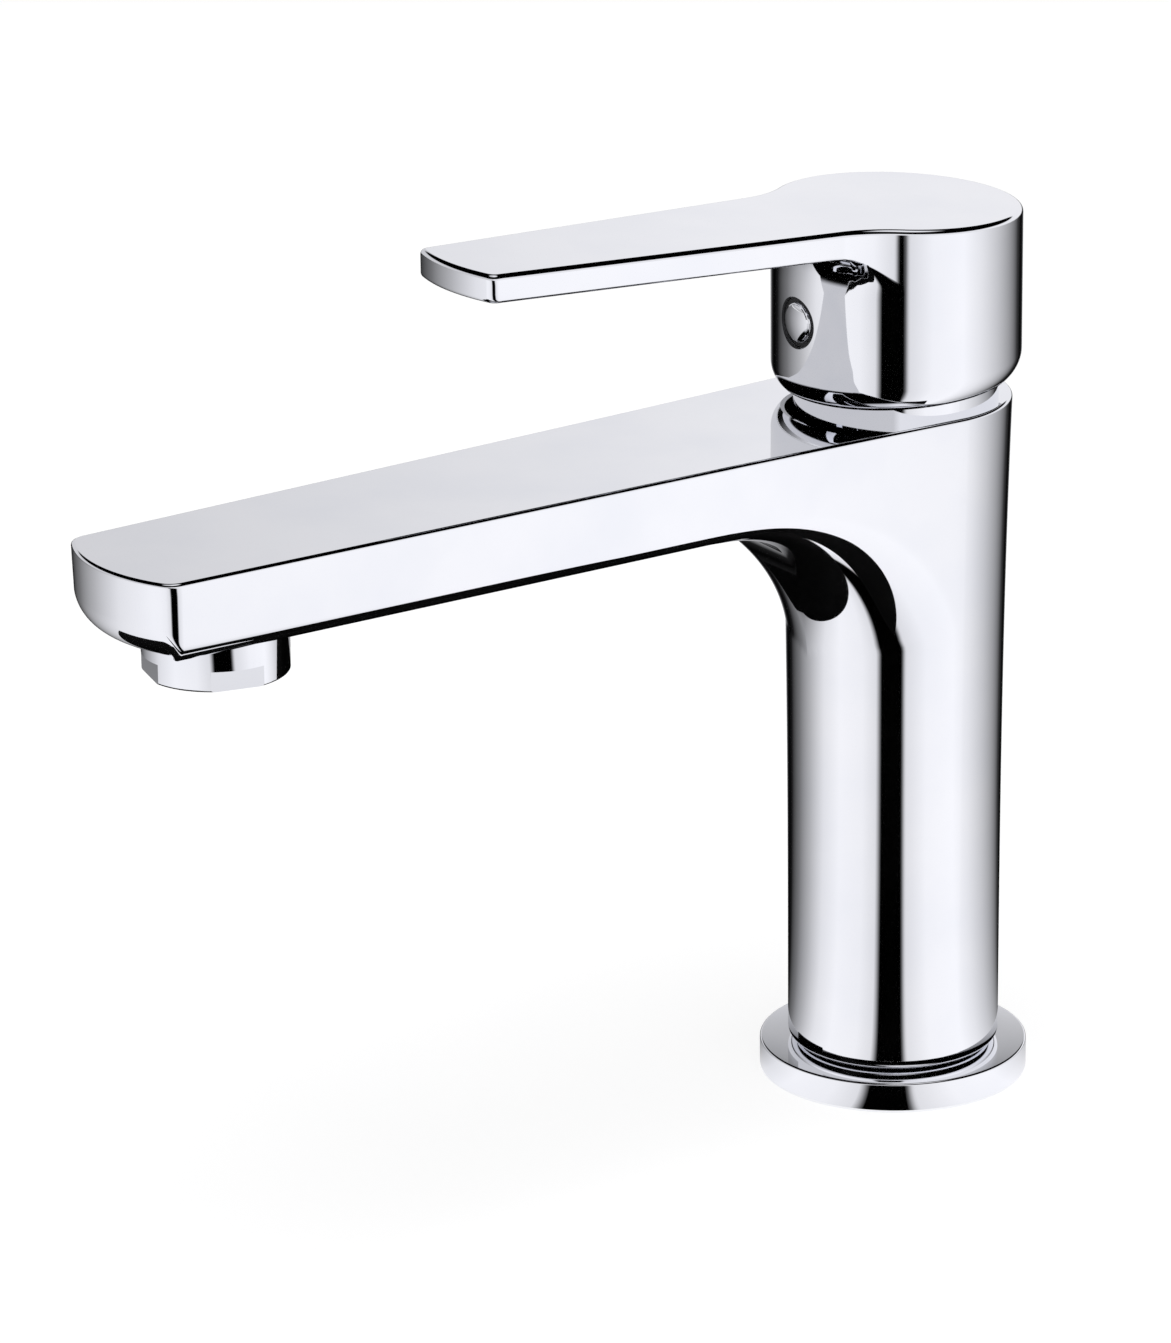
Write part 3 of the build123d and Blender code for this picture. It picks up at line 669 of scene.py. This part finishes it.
# ---------------------------------------------------------------- handle
@dataclass
class HandleSkin:
    """The plated head with its skirt, and the lever that grows out of it."""

    head_r: float = 23.0
    top_z: float = 169.2
    top_tilt: float = 2.9
    skirt_z: float = 136.6
    skirt_tilt: float = 3.6
    skirt_in_r: float = 20.5
    tuck_r: float = 5.5
    tuck_high: float = 4.0
    lever_thick: float = 5.2
    length: float = 98.0
    tip_half: float = 11.5
    root_half: float = 16.4
    neck_r: float = 20.0
    tip_corner: float = 2.2
    tip_bow: float = 2.0
    tip_back: float = 1.2
    cove_r: float = 5.0
    rim_r: float = 1.0
    low_r: float = 0.9
    ceiling: float = 164.4
    cover_r: float = 4.86
    cover_z: float = 150.0
    drill_len: float = 8.0
    drill_segments: int = 72
    fade_from: float = 2.5
    fade_over: float = 4.0
    cove_drop: float = 2.0
    skirt_start: float = 3.0
    skirt_lip: float = 0.15
    skirt_step: float = 6.0

    def __post_init__(self) -> None:
        """Works out the outline."""
        self.rise = math.tan(math.radians(self.top_tilt))
        self.fall = math.tan(math.radians(self.skirt_tilt))
        self.outline = self._outline()

    def _outline(self) -> Outline:
        """Traces the head and the lever from above.

        Returns:
            The outline, from the rear centre round to the front centre.
        """
        slope = (self.root_half - self.tip_half) / self.length
        lean = math.hypot(1.0, slope)
        # The hollow neck's round touches the head and the lever's side from outside.
        reach = self.head_r + self.neck_r
        low, high = 5.0, reach
        for _ in range(HALVINGS):
            neck_d = (low + high) / 2.0
            neck_x = self.root_half - slope * neck_d + self.neck_r * lean
            low, high = (neck_d, high) if math.hypot(neck_x, neck_d) < reach else (low, neck_d)
        half: list[tuple[float, float, float, float]] = []
        head_end = math.atan2(-neck_d, neck_x)
        for t in smooth_steps(QUARTER, head_end, 72):
            half.append((self.head_r * math.cos(t), self.head_r * math.sin(t), math.cos(t), math.sin(t)))
        side_turn = math.pi + math.atan2(-slope, 1.0)
        for t in smooth_steps(head_end + math.pi, side_turn, 30)[1:]:
            x, y = neck_x + self.neck_r * math.cos(t), -neck_d + self.neck_r * math.sin(t)
            half.append((x, y, -math.cos(t), -math.sin(t)))
        start_d = -half[-1][1]
        end_d = self.length - self.tip_back - self.tip_corner
        for d in smooth_steps(start_d, end_d, 44)[1:]:
            half.append((self.root_half - slope * d, -d, 1.0 / lean, -slope / lean))
        end_half = self.root_half - slope * (self.length - self.tip_back)
        tip_r = (end_half ** 2 + self.tip_bow ** 2) / (2.0 * self.tip_bow)
        tip_y = tip_r - self.length - (self.tip_bow - self.tip_back)
        centre_x = self.root_half - slope * end_d - self.tip_corner * lean
        centre_y = tip_y - math.sqrt((tip_r - self.tip_corner) ** 2 - centre_x ** 2)
        tip_turn = math.atan2(centre_y - tip_y, centre_x)
        for t in smooth_steps(math.atan2(-slope, 1.0), tip_turn, 12)[1:]:
            x = centre_x + self.tip_corner * math.cos(t)
            y = centre_y + self.tip_corner * math.sin(t)
            half.append((x, y, math.cos(t), math.sin(t)))
        for t in smooth_steps(tip_turn, -QUARTER, 14)[1:]:
            half.append((tip_r * math.cos(t), tip_y + tip_r * math.sin(t), math.cos(t), math.sin(t)))
        return mirrored_outline(half)

    def _top(self, y: np.ndarray) -> np.ndarray:
        """Gives the height of the top plane."""
        return self.top_z - y * self.rise

    def _under(self, y: np.ndarray) -> np.ndarray:
        """Gives the height of the lever's underside plane."""
        return self._top(y) - self.lever_thick

    def _cove(self, r: np.ndarray) -> np.ndarray:
        """Gives how far the cove hangs below the underside at a radius."""
        gap = np.clip(self.head_r + self.cove_r - r, 0.0, self.cove_r)
        return self.cove_r - np.sqrt(self.cove_r ** 2 - gap ** 2)

    def build(self) -> bpy.types.Object:
        """Builds the skin from the top plane down into the hollow skirt.

        Returns:
            The object.
        """
        o = self.outline
        stack = RingStack(len(o.x))
        for turn in np.radians(smooth_steps(90.0, 0.0, 7)):
            x, y = o.inset(self.rim_r * (1.0 - math.cos(turn)))
            stack.add(x, y, self._top(y) - self.rim_r * (1.0 - math.sin(turn)))
        hang = self._under(o.y) - self._cove(o.radius)
        upper, lower = self._top(o.y) - self.rim_r, hang + self.low_r
        for share in smooth_steps(0.0, 1.0, 5)[1:]:
            stack.add(o.x, o.y, upper + (lower - upper) * share)
        fade = self.low_r * np.clip((o.radius - self.head_r - self.fade_from) / self.fade_over, 0.0, 1.0)
        for turn in np.radians(smooth_steps(0.0, 90.0, 7)[1:]):
            x, y = o.inset(fade * (1.0 - math.cos(turn)))
            stack.add(x, y, hang + (y - o.y) * -self.rise + self.low_r * (1.0 - math.sin(turn)))
        start = np.minimum(np.hypot(x, y), self.head_r + self.cove_r)
        still = 1.0 - (start - self.head_r) / self.cove_r
        for share in smooth_steps(0.0, 1.0, 11)[1:]:
            r = self.head_r + (start - self.head_r) * (1.0 - share)
            x, y = o.circle(r)
            stack.add(x, y, self._under(y) - self._cove(r) - self.cove_drop * still * share)
        x, y = o.circle(self.head_r)
        tuck_z = self.skirt_z + self.tuck_high
        first, last = self._under(y) - self.cove_r - self.skirt_start, tuck_z + y * self.fall
        for share in smooth_steps(0.0, 1.0, 12):
            stack.add(x, y, first + (last - first) * share)
        end_turn = math.degrees(math.asin(self.tuck_high / self.tuck_r))
        for r, z in rounded(self.head_r - self.tuck_r, tuck_z, self.tuck_r, 0.0, -end_turn, 10)[1:]:
            x, y = o.circle(r)
            stack.add(x, y, z + y * self.fall)
        x, y = o.circle(self.skirt_in_r)
        stack.add(x, y, self.skirt_z + self.skirt_lip + y * self.fall)
        stack.add(x, y, self.skirt_z + self.skirt_step + y * self.fall)
        stack.add(x, y, self.ceiling)
        piece = stack.skin("handle_skin")
        self._drill(piece)
        return piece

    def _drill(self, piece: bpy.types.Object) -> None:
        """Cuts the hole for the screw cover through the front of the skirt.

        Args:
            piece: The handle's skin.
        """
        mesh = bpy.data.meshes.new("drill")
        bm = bmesh.new()
        front = Matrix.Translation((0.0, -self.head_r * MM, self.cover_z * MM))
        size = self.cover_r * MM
        bmesh.ops.create_cone(
            bm,
            cap_ends=True,
            segments=self.drill_segments,
            radius1=size,
            radius2=size,
            depth=self.drill_len * MM,
            matrix=front @ Matrix.Rotation(QUARTER, 4, "X"),
        )
        bm.to_mesh(mesh)
        bm.free()
        drill = bpy.data.objects.new("drill", mesh)
        bpy.context.scene.collection.objects.link(drill)
        cut = piece.modifiers.new("cover_hole", "BOOLEAN")
        cut.operation = "DIFFERENCE"
        cut.object = drill
        even = piece.modifiers["even_normals"]
        even.show_viewport = False
        bpy.context.view_layer.update()
        holed = bpy.data.meshes.new_from_object(piece.evaluated_get(bpy.context.evaluated_depsgraph_get()))
        piece.modifiers.remove(cut)
        piece.data = holed
        holed.name = "handle_skin"
        holed.polygons.foreach_set("use_smooth", [True] * len(holed.polygons))
        holed.set_sharp_from_angle(angle=math.radians(SHARP_DEGREES))
        even.show_viewport = True
        bpy.data.objects.remove(drill)


@dataclass
class CoverSkin:
    """The little plated cover over the handle's screw, sunk in a ring groove."""

    hole_r: float = 4.8
    face_r: float = 3.75
    z: float = 150.0
    seat_y: float = -21.7
    face_y: float = -22.75
    crown: float = 0.55
    edge: float = 0.45
    hidden: float = 1.0
    gap: float = 0.05
    axis_r: float = 0.4
    crown_axis_r: float = 0.15
    groove_low: float = 0.1
    groove_high: float = 0.12
    count: int = 72

    def _turned(self, name: str, profile: list[tuple[float, float]]) -> bpy.types.Object:
        """Turns a profile about the handle's front axis.

        Args:
            name: The name of the object.
            profile: Radius and place along Y of each ring.

        Returns:
            The object.
        """
        across, up = full_circle(self.count)
        stack = RingStack(self.count)
        for r, y in profile:
            stack.add(r * across, np.full(self.count, y), self.z + r * up)
        return stack.skin(name)

    def build(self) -> bpy.types.Object:
        """Builds the crowned cover.

        Returns:
            The object.
        """
        ball = (self.face_r ** 2 + self.crown ** 2) / (2.0 * self.crown)
        back = self.seat_y + self.hidden
        profile = [(self.axis_r, back), (self.hole_r, back), (self.hole_r, self.seat_y)]
        profile += [(self.face_r + self.gap, self.seat_y), (self.face_r, self.face_y + self.edge)]
        for t in np.radians(smooth_steps(10.0, 80.0, 5)):
            sink = self.edge * (1.0 - math.cos(t))
            profile.append((self.face_r - sink, self.face_y + self.edge * (1.0 - math.sin(t))))
        for r in smooth_steps(self.face_r - self.edge, self.crown_axis_r, 12):
            profile.append((float(r), self.face_y - (math.sqrt(ball ** 2 - r ** 2) - ball + self.crown)))
        return self._turned("screw_cover_skin", profile)

    def groove(self) -> bpy.types.Object:
        """Builds a thin black disc over the floor of the groove round the cover: painted shade that stands
        in for the shadow in the gap.

        Returns:
            The object.
        """
        low, high = self.seat_y + self.groove_low, self.seat_y - self.groove_high
        rim = self.hole_r - self.gap
        profile = [(self.axis_r, low), (rim, low), (rim, high), (self.axis_r, high)]
        return self._turned("screw_cover_painted_shade", profile)


# ---------------------------------------------------------------- studio
# Display tones of the reflected table, by bearing in degrees from the camera's side.
TABLE_TONES = [
    (-179.0, 0.7), (-168.0, 0.5), (-160.0, 0.12), (-150.0, 0.03), (-140.0, 0.12), (-130.0, 0.33),
    (-120.0, 0.44), (-100.0, 0.68), (-80.0, 0.88), (-60.0, 0.95), (-35.0, 0.93), (-21.0, 0.86),
    (-16.0, 0.0), (5.0, 0.0), (9.0, 0.86), (30.0, 0.95), (60.0, 0.97), (80.0, 0.89),
    (100.0, 0.77), (120.0, 0.6), (130.0, 0.47), (140.0, 0.22), (150.0, 0.03), (160.0, 0.14),
    (168.0, 0.5), (179.0, 0.7),
]
# Display tones of the tent, by the height of the view's direction.
TENT_TONES = [(0.0, 0.86), (0.02, 1.0), (0.36, 1.0), (0.4, 0.01), (0.9, 0.01), (0.95, 1.0), (1.0, 1.0)]


def tone_ramp(nodes: bpy.types.Nodes, tones: list[tuple[float, float]]) -> bpy.types.Node:
    """Adds a colour ramp of greys.

    Args:
        nodes: The node list.
        tones: Position and display tone of each stop, in order.

    Returns:
        The ramp.
    """
    ramp = nodes.new("ShaderNodeValToRGB")
    stops = ramp.color_ramp.elements
    while len(stops) < len(tones):
        stops.new(0.5)
    for stop, (at, _) in zip(stops, tones):
        stop.position = at
    for stop, (_, tone) in zip(stops, tones):
        light = tone ** GAMMA
        stop.color = (light, light, light * COOL, 1.0)
    return ramp


def sloped(
    inner: tuple[float, float], outer: tuple[float, float], front: float, rear: float
) -> list[tuple[float, float, float]]:
    """Gives the corners of a card that runs along the spout.

    Args:
        inner: Place across and height of one long edge.
        outer: Place across and height of the other long edge.
        front: Where the card starts along Y.
        rear: Where it ends along Y.

    Returns:
        The four corners, in order.
    """
    (x0, z0), (x1, z1) = inner, outer
    return [(x0, front, z0), (x1, front, z1), (x1, rear, z1), (x0, rear, z0)]


@dataclass
class Studio:
    """Floor, surroundings, lights and the camera."""

    azimuth: float = 55.176
    elevation: float = 19.177
    roll: float = -0.604
    camera_at: tuple[float, float, float] = (966.6, -742.5, 502.5)
    lens: float = 212.85
    sensor: float = 36.0
    clip_near: float = 0.01
    clip_far: float = 60.0
    shade_from: float = -0.09
    shade_to: float = 0.04
    shade_low: float = 0.66
    shade_high: float = 0.9
    floor_half: float = 6000.0
    floor_tone: float = 0.28
    floor_glow: float = 0.8
    table_r: float = 5800.0
    table_z: float = 0.5
    flag_tone: float = 0.004
    lamp_power: float = 60.0
    lamp_size: float = 2.4
    lamp_at: tuple[float, float, float] = (0.5, -0.4, 2.6)
    lamp_aim: tuple[float, float, float] = (0.0, 0.0, 0.1)
    table_glow_strength: float = 1.12

    def camera(self) -> None:
        """Places the camera and makes it the scene's own."""
        a, e, ro = (math.radians(v) for v in (self.azimuth, self.elevation, self.roll))
        back = Vector((math.sin(a) * math.cos(e), -math.cos(a) * math.cos(e), math.sin(e)))
        right = Vector((math.cos(a), math.sin(a), 0.0))
        up = back.cross(right)
        across = right * math.cos(ro) + up * math.sin(ro)
        over = up * math.cos(ro) - right * math.sin(ro)
        data = bpy.data.cameras.new("view")
        data.lens = self.lens
        data.sensor_width = self.sensor
        data.sensor_fit = "HORIZONTAL"
        data.clip_start, data.clip_end = self.clip_near, self.clip_far
        camera = bpy.data.objects.new("view", data)
        bpy.context.scene.collection.objects.link(camera)
        turn = Matrix((across, over, back)).transposed().to_4x4()
        camera.matrix_world = Matrix.Translation(Vector(self.camera_at) * MM) @ turn
        bpy.context.scene.camera = camera
        LOG.info("camera %.0f mm from the flange", Vector(self.camera_at).length)

    def surround(self) -> None:
        """Wraps the scene in a soft tent: pale low down, a dark band, white overhead."""
        world = bpy.data.worlds.new("tent")
        world.use_nodes = True
        nodes, links = world.node_tree.nodes, world.node_tree.links
        sky = nodes["Background"]
        place = nodes.new("ShaderNodeTexCoord")
        split = nodes.new("ShaderNodeSeparateXYZ")
        links.new(place.outputs["Generated"], split.inputs["Vector"])
        height = tone_ramp(nodes, TENT_TONES)
        links.new(split.outputs["Z"], height.inputs["Fac"])
        side = nodes.new("ShaderNodeVectorMath")
        side.operation = "DOT_PRODUCT"
        t = math.radians(self.azimuth)
        side.inputs[1].default_value = (math.cos(t), math.sin(t), 0.0)
        links.new(place.outputs["Generated"], side.inputs[0])
        fall = nodes.new("ShaderNodeMapRange")
        fall.inputs["From Min"].default_value = self.shade_from
        fall.inputs["From Max"].default_value = self.shade_to
        fall.inputs["To Min"].default_value = self.shade_low
        fall.inputs["To Max"].default_value = self.shade_high
        links.new(side.outputs["Value"], fall.inputs["Value"])
        mix = nodes.new("ShaderNodeVectorMath")
        mix.operation = "SCALE"
        links.new(height.outputs["Color"], mix.inputs[0])
        links.new(fall.outputs["Result"], mix.inputs["Scale"])
        links.new(mix.outputs["Vector"], sky.inputs["Color"])
        bpy.context.scene.world = world

    def plain(self, name: str, tone: float, glow: float = 0.0) -> bpy.types.Material:
        """Makes a plain studio material.

        Args:
            name: The name of the material.
            tone: Its grey.
            glow: How brightly it shines by itself.

        Returns:
            The material.
        """
        material = bpy.data.materials.new(name)
        material.use_nodes = True
        shader = material.node_tree.nodes["Principled BSDF"]
        shader.inputs["Base Color"].default_value = (tone, tone, tone, 1.0)
        shader.inputs["Roughness"].default_value = 0.9
        shader.inputs["Specular IOR Level"].default_value = 0.0
        shader.inputs["Emission Color"].default_value = (1.0, 1.0, 1.0, 1.0)
        shader.inputs["Emission Strength"].default_value = glow
        return material

    @staticmethod
    def one_sided_black() -> bpy.types.Material:
        """Makes black that only shows from above.

        Returns:
            The material.
        """
        material = bpy.data.materials.new("one_sided_black")
        material.use_nodes = True
        nodes, links = material.node_tree.nodes, material.node_tree.links
        nodes.remove(nodes["Principled BSDF"])
        side = nodes.new("ShaderNodeNewGeometry")
        black = nodes.new("ShaderNodeBsdfDiffuse")
        black.inputs["Color"].default_value = (0.002, 0.002, 0.002, 1.0)
        clear = nodes.new("ShaderNodeBsdfTransparent")
        mix = nodes.new("ShaderNodeMixShader")
        links.new(side.outputs["Backfacing"], mix.inputs["Fac"])
        links.new(black.outputs["BSDF"], mix.inputs[1])
        links.new(clear.outputs["BSDF"], mix.inputs[2])
        links.new(mix.outputs["Shader"], nodes["Material Output"].inputs["Surface"])
        return material

    def card(
        self,
        name: str,
        corners: list[tuple[float, float, float]],
        material: bpy.types.Material,
        seen: bool = False,
    ) -> bpy.types.Object:
        """Hangs a flat card that shows in reflections.

        Args:
            name: The name of the card.
            corners: Its corners in order.
            material: Its material.
            seen: True if the camera sees it too.

        Returns:
            The card.
        """
        mesh = bpy.data.meshes.new(name)
        mesh.from_pydata([tuple(c * MM for c in p) for p in corners], [], [tuple(range(len(corners)))])
        card = bpy.data.objects.new(name, mesh)
        bpy.context.scene.collection.objects.link(card)
        mesh.materials.append(material)
        if not seen:
            card.visible_camera = False
            card.visible_diffuse = False
            card.visible_shadow = False
        LOG.info("studio card %s", name)
        return card

    def table_glow(self) -> None:
        """Lays the reflected table: its tone turns with the bearing from the column."""
        material = bpy.data.materials.new("table_glow")
        material.use_nodes = True
        nodes, links = material.node_tree.nodes, material.node_tree.links
        nodes.remove(nodes["Principled BSDF"])
        place = nodes.new("ShaderNodeTexCoord")
        split = nodes.new("ShaderNodeSeparateXYZ")
        links.new(place.outputs["Object"], split.inputs["Vector"])
        turn = nodes.new("ShaderNodeMath")
        turn.operation = "ARCTAN2"
        links.new(split.outputs["Y"], turn.inputs[0])
        links.new(split.outputs["X"], turn.inputs[1])
        share = nodes.new("ShaderNodeMapRange")
        share.inputs["From Min"].default_value = -math.pi
        share.inputs["From Max"].default_value = math.pi
        links.new(turn.outputs["Value"], share.inputs["Value"])
        tones = tone_ramp(nodes, [((b + 180.0) / 360.0, tone) for b, tone in TABLE_TONES])
        links.new(share.outputs["Result"], tones.inputs["Fac"])
        glow = nodes.new("ShaderNodeEmission")
        links.new(tones.outputs["Color"], glow.inputs["Color"])
        glow.inputs["Strength"].default_value = self.table_glow_strength
        links.new(glow.outputs["Emission"], nodes["Material Output"].inputs["Surface"])
        size = self.table_r
        corners = [(size, 0.0, 0.0), (0.0, size, 0.0), (-size, 0.0, 0.0), (0.0, -size, 0.0)]
        card = self.card("table_reflection", corners, material)
        card.rotation_euler = (0.0, 0.0, math.radians(self.azimuth - 90.0))
        card.location = (0.0, 0.0, self.table_z * MM)

    def lamp(self) -> None:
        """Hangs the wide soft lamp that lights the floor and the plain pieces."""
        data = bpy.data.lights.new("softbox", "AREA")
        data.shape = "DISK"
        data.size = self.lamp_size
        data.energy = self.lamp_power
        lamp = bpy.data.objects.new("softbox", data)
        lamp.location = self.lamp_at
        lamp.rotation_euler = (Vector(self.lamp_aim) - lamp.location).to_track_quat("-Z", "Y").to_euler()
        lamp.visible_glossy = False
        bpy.context.scene.collection.objects.link(lamp)

    def build(self) -> None:
        """Builds the floor, the tent, the cards, the lamp and the camera."""
        self.camera()
        self.surround()
        white = self.plain("floor_pale", self.floor_tone, self.floor_glow)
        black = self.plain("card_black", self.flag_tone)
        half = self.floor_half
        floor = [(-half, -half, 0.0), (half, -half, 0.0), (half, half, 0.0), (-half, half, 0.0)]
        self.card("floor", floor, white, seen=True)
        self.table_glow()
        self.card("under_spout_flag", sloped((-22.0, 97.0), (22.0, 97.0), -186.0, -60.0), black)
        self.card("under_bend_flag", sloped((-70.0, 90.0), (26.0, 90.0), -72.0, -24.0), black)
        one_sided = self.one_sided_black()
        self.card("beside_spout_flag", sloped((19.5, 112.0), (60.0, 71.5), -186.0, -60.0), one_sided)
        self.card("beside_bend_flag", sloped((21.5, 87.5), (71.5, 37.5), -130.0, 4.0), one_sided)
        self.lamp()
        bpy.context.scene.view_settings.view_transform = "Standard"


# ---------------------------------------------------------------- all
def main() -> None:
    """Builds the skins, dresses every node and lights the studio."""
    logging.basicConfig(level=logging.INFO, format="%(name)s: %(message)s")
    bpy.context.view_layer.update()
    dresser = Dresser()
    for node in NODE_FINISHES:
        dresser.dress_node(node)
    dresser.dress_skin(BodySkin().build(), "body_casting", "fixed_body")
    dresser.dress_skin(BaseTrim().build(), "base_flange", "fixed_body")
    dresser.dress_skin(HandleSkin().build(), "lever_handle", "lever")
    cover = CoverSkin()
    dresser.dress_skin(cover.build(), "screw_cover", "lever")
    groove = cover.groove()
    # The disc borrows the black rubber finish only as painted shade for the gap round the cover; it is not
    # a rubber part.
    groove.data.materials.append(dresser.materials[NODE_FINISHES["rotor_seal"].name])
    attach(groove, "lever")
    Studio().build()


if __name__ == "__main__":
    main()
